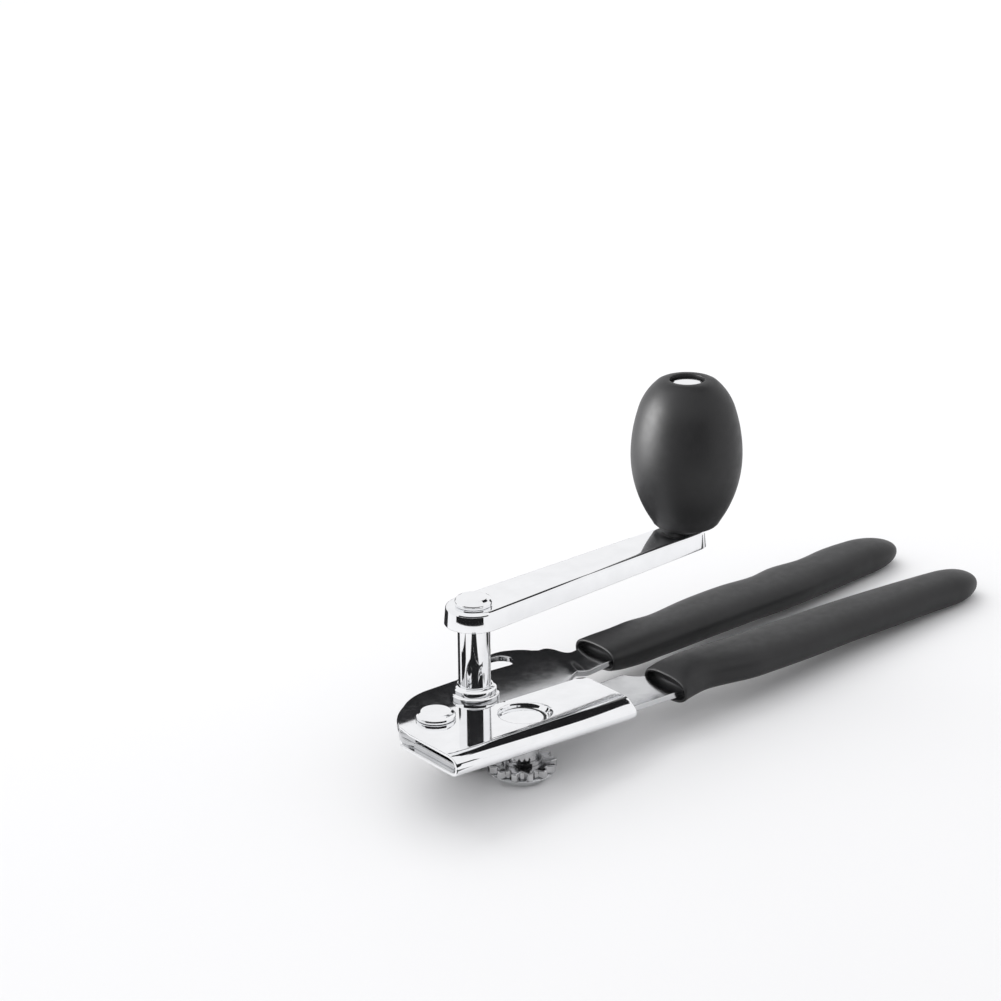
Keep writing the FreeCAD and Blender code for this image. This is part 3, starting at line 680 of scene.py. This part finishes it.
# Radii and heights of the turned pieces, besides the corners that give each its own shape
POST = 5.3
POST_TAIL = 4.5
POST_FOOT = -15.1
POST_TOP = 27.9
RIVET_FOOT = -9.3
SPINDLE_FOOT = -22.4
DISC = 7.4
DISC_TOP = -1.42
AXLE_FOOT = -21.9
WASHER = 1.0
PIN_FOOT = 28.2
PIN_SHOULDER = 29.5
PIN_SEAT = 81.1

turned("pivot_rivet_head", AT_PIVOT,
       [(0, RIVET_FOOT), (4.2, RIVET_FOOT), (5.0, RIVET_FOOT + 0.7), (5.0, -7.9), (AXLE, -7.9),
        (AXLE, 0.1)] + capped(6.4, 0.1, 2.4), "far_handle", "chrome", ("pivot_rivet",), 0.5)
ringed("post_tube", PLATE,
       [(AXLE_BORE, POST_FOOT), (POST_TAIL, POST_FOOT), (POST_TAIL, LEVER_TOP), (POST, LEVER_TOP),
        (POST, POST_TOP), (AXLE_BORE, POST_TOP)], "far_handle", "chrome", ("crank_post",))
ringed("post_collar_steps", PLATE,
       [(POST, LEVER_TOP), (8.0, LEVER_TOP), (8.0, 0.45), (7.75, 0.8), (7.2, 0.95), (7.2, 2.5),
        (6.75, 3.2), (6.0, 3.5), (POST, 3.5)], "far_handle", "chrome", ("post_collar",), 0.3)
turned("hub_rivet", PLATE,
       [(0, SPINDLE_FOOT), (AXLE, SPINDLE_FOOT), (AXLE, ARM_TOP)] + capped(6.1, ARM_TOP, 2.7),
       "crank", "chrome", ("crank_spindle",), 0.5)
turned("cutter_axle_disc", AT_CUTTER,
       [(0, AXLE_FOOT), (5.0, AXLE_FOOT), (5.0, AXLE_FOOT + 1.0), (AXLE, AXLE_FOOT + 1.0),
        (AXLE, -2.3), (DISC, -2.3), (DISC, -1.7), (DISC - 0.3, -1.46), (0, DISC_TOP)],
       "near_handle", "chrome", ("cutter_axle",), 0.12)
# Painted shade: a black ring stands in for the shadow in the gap between the axle's head and the
# wall of the dimple
ringed("axle_gap_ring", AT_CUTTER,
       [(DISC, -2.1), (DISC + 0.7, -2.1), (DISC + 0.7, -1.45), (DISC, -1.55)],
       "near_handle", "soft_black", (), 0.1)
ringed("knob_foot_washer", AT_KNOB,
       [(KNOB_PIN, ARM_TOP), (5.2, ARM_TOP), (5.2, ARM_TOP + WASHER), (KNOB_PIN, ARM_TOP + WASHER)],
       "crank", "chrome", ("knob_base_washer",))
turned("knob_pin_head", AT_KNOB,
       [(0, PIN_FOOT), (3.5, PIN_FOOT), (4.1, PIN_FOOT + 0.6), (4.1, PIN_SHOULDER),
        (KNOB_PIN, PIN_SHOULDER), (KNOB_PIN, PIN_SEAT), (5.4, PIN_SEAT), (5.4, 82.3), (5.1, 82.7),
        (4.3, 82.95), (0, 83.0)], "crank", "chrome", ("knob_pin",), 0.2)

# ---------------------------------------------------------------- crank arm

ARM_FLANGE = 6.5
ARM_DRAFT = 0.42
ARM_CORNER = 1.2
HUB_WIDTH = 9.6
TIP_WIDTH = 7.1


def arm_ring(depth, z):
    """The arm's outline moved in by depth, at one height: arcs round the hub and the tip."""
    lean = math.asin((HUB_WIDTH - TIP_WIDTH) / arm_length)
    ends = ((0, HUB_WIDTH - depth, math.pi / 2 - lean, math.pi + 2 * lean, 48),
            (arm_length, TIP_WIDTH - depth, lean - math.pi / 2, math.pi - 2 * lean, 40))
    ring = []
    for x, radius, start, sweep, count in ends:
        for i in range(count + 1):
            angle = start + sweep * i / count
            ring.append((x + radius * math.cos(angle), radius * math.sin(angle), z))
    return ring


# Half the channel's section as (depth, height): ceiling, inner wall, lip, outer corner and top
CEILING = ARM_TOP - ARM_SHEET
LIP = ARM_TOP - ARM_FLANGE
arm_section = [(4.0, CEILING), (ARM_SHEET + 1.2, CEILING), (ARM_SHEET + 0.3, CEILING - 0.3),
               (ARM_SHEET, CEILING - 1.2), (ARM_SHEET, LIP + 0.3), (ARM_SHEET - 0.3, LIP),
               (0.3, LIP), (0.0, LIP + 0.3)]
for k in range(9):
    angle = math.pi / 2 * k / 8
    arm_section.append((ARM_DRAFT + ARM_CORNER * (1 - math.cos(angle)),
                        ARM_TOP - ARM_CORNER * (1 - math.sin(angle))))
arm_section += [(2.1, ARM_TOP), (2.9, ARM_TOP), (4.0, ARM_TOP)]
piece("crank_arm_channel", loft("crank_arm_channel", ALONG_ARM,
                                [arm_ring(d, z) for d, z in arm_section]),
      "crank", CHROME, ("crank_arm",))

# ---------------------------------------------------------------- gears and wheels

GEAR_TEETH = 13
GEAR_TOP = -16.4
GEAR_FACE = 2.8
GEAR_FOOT = GEAR_TOP - GEAR_FACE
GEAR_TOOTH = {"tip": 11.4, "root": 9.5, "half_tip": 0.7, "half_root": 1.75}
FEED_TEETH = 30
FEED_FACE = 2.9
FEED_TOOTH = {"tip": 10.9, "root": 10.1, "half_tip": 0.25, "half_root": 0.9}
WHEEL_GAP = 0.3
TOOTH_CORNER = 0.6


def tooth_outline(first, teeth, tip, root, half_tip, half_root):
    """Round-cornered stub teeth all round, the first at an angle in degrees.

    Tip and root are radii; the other two are half the tooth's width there.
    """
    corners = []
    pitch = math.tau / teeth
    for k in range(teeth):
        middle = math.radians(first) + k * pitch
        for side, reach in ((-half_root, root), (-half_tip, tip), (half_tip, tip),
                            (half_root, root)):
            angle = middle + side / reach
            corners.append((reach * math.cos(angle), reach * math.sin(angle)))
    return fillet(corners, TOOTH_CORNER)


# The gears mesh on the line between their axes: a tooth of one meets a gap of the other
nip = math.degrees(math.atan2(cutter_rest.y, cutter_rest.x))
GEARS = (("drive_gear_teeth", PLATE, nip, "crank", "drive_gear"),
         ("cutter_gear_teeth", AT_CUTTER, nip + 180 + 180 / GEAR_TEETH, "cutter", "cutter_gear"))
for name, place, first, body, node in GEARS:
    teeth = tooth_outline(first, GEAR_TEETH, **GEAR_TOOTH)
    piece(name, sheet(name, place, teeth, GEAR_FACE, level(GEAR_TOP), edge=0.45, grid=3.0,
                      holes=(circle(0, 0, AXLE_BORE),)),
          body, STEEL, (node,))

feed = tooth_outline(0, FEED_TEETH, **FEED_TOOTH)
piece("feed_wheel_teeth",
      sheet("feed_wheel_teeth", PLATE, feed, FEED_FACE, level(GEAR_FOOT - WHEEL_GAP),
            edge=0.12, grid=3.0, holes=(circle(0, 0, AXLE),)),
      "crank", STEEL, ("feed_wheel",))

CUT_TOP = GEAR_FOOT
CUT_FOOT = CUT_TOP - 2.9
CUT_EDGE = 10.75
CUT_RECESS = 5.4
CUT_CEILING = CUT_FOOT + 1.3
ringed("cutting_wheel_cone", AT_CUTTER,
       [(AXLE_BORE, CUT_TOP), (10.2, CUT_TOP), (CUT_EDGE, CUT_TOP - 0.35), (8.2, CUT_FOOT + 0.5),
        (7.6, CUT_FOOT), (CUT_RECESS, CUT_FOOT), (CUT_RECESS, CUT_CEILING),
        (AXLE_BORE, CUT_CEILING)],
       "cutter", "blade_steel", ("cutting_wheel",), 0.1, 120)

# ---------------------------------------------------------------- soft grips

GRIP_HALF = 5.4
GRIP_POINTS = 56
GRIP_SECTIONS = 110
GRIP_FULLNESS = 2.6
DOME_SECTIONS = 19
DOME_OVERHANG = 1.2
DOME_FULLNESS = 2.2
LIP_WIDTH = 0.9
# The rolled lip as (distance behind the mouth, how much smaller than the mouth)
GRIP_LIP = ((2.6, 1.4), (0.8, 1.2), (0.3, 1.0), (0.0, 0.65), (0.08, 0.35), (0.35, 0.1))


def grip_ring(x, low, high, middle, half, power=GRIP_FULLNESS):
    """A superellipse across the grip: wide, flattish above and below, full at the sides."""
    ring = []
    for i in range(GRIP_POINTS):
        angle = math.tau * i / GRIP_POINTS
        c, s = math.cos(angle), math.sin(angle)
        y = math.copysign(abs(c) ** (2 / power), c)
        z = math.copysign(abs(s) ** (2 / power), s)
        ring.append((x, (low + high) / 2 + y * (high - low) / 2, middle + z * half))
    return ring


def grip_mesh(name, matrix, stations, dome_length):
    """A smooth sleeve with a rolled lip at the mouth and a domed end.

    A station is (x, one side's y, the other side's y, height of the middle, share of full height).
    """
    knots = [(x, (low, high, middle, share * GRIP_HALF))
             for x, low, high, middle, share in stations]
    start = stations[0][0]
    dome_start = stations[-1][0] + DOME_OVERHANG - dome_length
    sections = []
    low, high, middle, half = knots[0][1]
    for back, shrink in GRIP_LIP:
        sections.append(grip_ring(start + back, low + shrink, high - shrink, middle,
                                  half - shrink))
    for i in range(GRIP_SECTIONS + 1):
        x = start + LIP_WIDTH + (dome_start - start - LIP_WIDTH) * i / GRIP_SECTIONS
        sections.append(grip_ring(x, *through(knots, x)))
    low, high, _, half = through(knots, dome_start)
    for k in range(1, DOME_SECTIONS):
        t = math.sin(math.pi / 2 * k / DOME_SECTIONS)
        x = dome_start + dome_length * t
        size = (1 - t ** DOME_FULLNESS) ** (1 / DOME_FULLNESS)
        end_low, end_high, middle, _ = through(knots, x)
        centre = (end_low + end_high) / 2
        wide = (high - low) / 2 * size
        sections.append(grip_ring(x, centre - wide, centre + wide, middle, half * size,
                                  GRIP_FULLNESS - 0.5 * t))
    return loft(name, matrix, sections)


FAR_GRIP = [(57.6, -3.1, 17.2, -4.8, 0.82), (63.0, -3.1, 17.6, -5.2, 0.93),
            (72.0, -3.0, 17.8, -5.4, 1.0), (80.0, -2.9, 18.2, -5.2, 1.0),
            (89.0, -2.8, 17.0, -4.95, 1.0), (107.0, -2.8, 18.9, -4.4, 1.0),
            (124.0, -2.7, 19.1, -3.95, 1.0), (137.0, -3.0, 17.4, -3.55, 1.0),
            (148.0, -2.9, 18.7, -3.25, 1.0), (160.0, -1.9, 17.0, -2.9, 1.0),
            (174.0, -1.0, 18.2, -2.5, 1.0), (187.0, -0.1, 17.0, -2.1, 0.97),
            (195.0, 1.1, 14.9, -1.9, 0.84), (199.2, 3.0, 12.6, -1.8, 0.58)]
NEAR_GRIP = [(57.5, -36.7, -15.1, -4.0, 0.84), (62.0, -35.6, -15.1, -3.2, 0.95),
             (70.0, -34.3, -15.2, -2.6, 1.0), (76.0, -35.0, -15.3, -2.5, 1.0),
             (88.0, -37.5, -15.4, -2.3, 1.0), (96.0, -37.6, -15.5, -2.2, 1.0),
             (113.0, -37.2, -15.4, -2.0, 1.0), (133.0, -35.9, -15.0, -1.75, 1.0),
             (152.0, -35.2, -15.5, -1.5, 1.0), (172.0, -34.2, -16.6, -1.3, 1.0),
             (188.0, -33.8, -18.0, -1.1, 0.97), (193.6, -32.5, -19.1, -1.0, 0.84),
             (197.0, -30.3, -21.2, -1.0, 0.58)]
FAR_DOME = 17.4
NEAR_DOME = 14.2
piece("far_grip_sleeve", grip_mesh("far_grip_sleeve", PLATE, FAR_GRIP, FAR_DOME), "far_handle",
      RUBBER, ("far_grip",), weighted=False)
piece("near_grip_sleeve", grip_mesh("near_grip_sleeve", NEAR, NEAR_GRIP, NEAR_DOME),
      "near_handle", RUBBER, ("near_grip",), weighted=False)

# ---------------------------------------------------------------- knob

KNOB_FOOT = 32.15
KNOB_BORE = 8.0
PIN_RECESS = 5.9
RECESS_FLOOR = 80.0
knob_profile = trace(
    (KNOB_BORE, KNOB_FOOT), (9.4, KNOB_FOOT), (10.9, 33.0, 11.8, 34.4), (16.6, 44.0, 18.9, 57.6),
    (18.2, 66.0, 16.7, 72.5), (14.3, 78.2, 10.2, 83.0), (8.2, 83.85, 6.3, 84.0),
    (5.98, 83.9, PIN_RECESS, 83.6), (PIN_RECESS, RECESS_FLOOR), (KNOB_BORE, RECESS_FLOOR),
    gap=1.2)
piece("knob_body", tube_lathe("knob_body", AT_KNOB, knob_profile, 128), "knob",
      RUBBER, ("knob_grip",), weighted=False)

# ---------------------------------------------------------------- floor


def stage_material(name, colour):
    """A matt surface round the object."""
    s = Shader(name)
    s.tint(s.noise(3, 2), colour, tuple(0.985 * c for c in colour))
    s.shader.inputs["Roughness"].default_value = 0.9
    s.shader.inputs["Specular IOR Level"].default_value = 0.1
    return s.material


def panel(name, corners, material):
    """A flat four-cornered piece of the stage, its corners in the scene's own metres."""
    mesh = bpy.data.meshes.new(name)
    mesh.from_pydata([Vector(c) for c in corners], [], [(0, 1, 2, 3)])
    mesh.materials.append(material)
    obj = bpy.data.objects.new(name, mesh)
    bpy.context.scene.collection.objects.link(obj)
    return obj


# Half the floor's side, in metres
FLOOR = 6.0
panel("floor", [(-FLOOR, -FLOOR, 0), (FLOOR, -FLOOR, 0), (FLOOR, FLOOR, 0), (-FLOOR, FLOOR, 0)],
      stage_material("FloorPale", (0.88, 0.88, 0.885)))

# ---------------------------------------------------------------- camera

CAMERA_TURN = math.radians(-39.3345)
CAMERA_RISE = math.radians(20.1361)
CAMERA_ROLL = math.radians(-0.6628)
SENSOR = 36.0
LENS = 122.026
# Where the plate frame's origin lies from the camera: millimetres right, down and ahead
ORIGIN_SEEN = Vector((-8.3157, 62.4257, 1100.485))

ahead = Vector((-math.sin(CAMERA_TURN) * math.cos(CAMERA_RISE),
                math.cos(CAMERA_TURN) * math.cos(CAMERA_RISE), -math.sin(CAMERA_RISE)))
right = Vector((math.cos(CAMERA_TURN), math.sin(CAMERA_TURN), 0))
down = ahead.cross(right)
rows = Matrix.Rotation(CAMERA_ROLL, 3, "Z") @ Matrix((right, down, ahead))
eye = -(rows.transposed() @ ORIGIN_SEEN)
camera = bpy.data.objects.new("Camera", bpy.data.cameras.new("Camera"))
camera.data.sensor_width = SENSOR
camera.data.lens = LENS
camera.data.clip_end = 50.0
look = Matrix((rows[0], -rows[1], -rows[2])).transposed().to_4x4()
turned_plate = PLATE.to_3x3().normalized().to_4x4()
camera.matrix_world = Matrix.Translation(PLATE @ eye) @ turned_plate @ look
bpy.context.scene.collection.objects.link(camera)
bpy.context.scene.camera = camera

# ---------------------------------------------------------------- dark cards

# Only the polished metal mirrors them; their places are in the plate frame's millimetres
DARK = stage_material("CardDark", (0.012, 0.012, 0.013))
GREY = stage_material("CardGrey", (0.035, 0.035, 0.037))
to_camera = Vector((-ahead.x, -ahead.y, 0)).normalized()
sideways = Vector((right.x, right.y, 0)).normalized()


def patch(name, corners, material):
    """A card that no ray but a mirrored one meets."""
    obj = panel(name, [PLATE @ Vector(c) for c in corners], material)
    obj.visible_camera = False
    obj.visible_diffuse = False
    obj.visible_shadow = False
    obj.visible_transmission = False


def card(name, centre, across, low, high, material):
    """An upright card: its centre and half-width vector in plan, then its heights."""
    start = (centre - across).xy
    end = (centre + across).xy
    patch(name, [(*start, low), (*end, low), (*end, high), (*start, high)], material)


def card_row(name, steps, degrees, reach, half_width, low, high):
    """Upright cards on an arc round the crank axis, side by side; bearing 0 is the camera's."""
    for number, k in enumerate(steps):
        bearing = math.radians(degrees * k)
        spot = to_camera * math.cos(bearing) + sideways * math.sin(bearing)
        side = sideways * math.cos(bearing) - to_camera * math.sin(bearing)
        card(f"{name}_{number}", spot * reach, side * half_width, low, high, DARK)


def ahead_of_post(along, across, z):
    """A corner given by its distance towards the camera and to the side."""
    spot = to_camera * along + sideways * across
    return (spot.x, spot.y, z)


card("card_behind", Vector((41, 47, 0)), Vector((65, 0, 0)), -26, 28.5, GREY)
card_row("card_far", range(-5, 6), 11, 420, 41, -20, 215)
card_row("card_front", range(-6, 4), 10.5, 76, 7.2, 7.5, 18)
patch("patch_floor", [ahead_of_post(62, -50, -22), ahead_of_post(62, 50, -22),
                      ahead_of_post(142, 17, -22), ahead_of_post(142, -17, -22)], DARK)
# Painted shade: a dark sheet under the opener stands in for the shadowed floor there, as the
# metal's undersides mirror it
patch("patch_under", [(-25, -14, -23.2), (45, -14, -17.3), (45, 25, -18.2), (-25, 25, -24.1)],
      DARK)
patch("patch_grips", [(78, -42, -18), (235, -42, -8), (262, -100, -8), (124, -100, -18)], DARK)
patch("card_high_right", [(190, -55, 205), (190, 150, 170), (150, 150, 250), (150, -55, 275)],
      DARK)
card("card_low_left", Vector((-70, 33, 0)), Vector((0.77, 0.63, 0)) * 30, -24, -12, DARK)

# ---------------------------------------------------------------- light

SKY_COLOUR = (0.99, 0.99, 1.0, 1)
SKY_STRENGTH = 0.95

world = bpy.data.worlds.new("World")
bpy.context.scene.world = world
world.use_nodes = True
sky = world.node_tree.nodes["Background"]
sky.inputs["Color"].default_value = SKY_COLOUR
sky.inputs["Strength"].default_value = SKY_STRENGTH


def softbox(name, place, aim, size, power):
    """A soft rectangular light: place, aim and size in metres, power in watts."""
    light = bpy.data.lights.new(name, "AREA")
    light.shape = "RECTANGLE"
    light.size, light.size_y = size
    light.energy = power
    obj = bpy.data.objects.new(name, light)
    obj.location = place
    obj.rotation_euler = (Vector(aim) - Vector(place)).to_track_quat("-Z", "Y").to_euler()
    bpy.context.scene.collection.objects.link(obj)
    return obj


# The key light shines on the soft mouldings only: the polished metal mirrors the plain sky
soft = bpy.data.collections.new("SoftMouldings")
for name in ("knob_body", "far_grip_sleeve", "near_grip_sleeve"):
    soft.objects.link(bpy.data.objects[name])
key = softbox("key_left", (-0.56, 0.52, 0.30), (0.0, 0.0, 0.05), (0.5, 0.6), 15.0)
key.light_linking.receiver_collection = soft
top = softbox("top_back", (0.25, 0.75, 0.95), (0.0, 0.0, 0.02), (1.2, 0.8), 5.0)
top.visible_glossy = False

bpy.context.scene.view_settings.view_transform = "Standard"
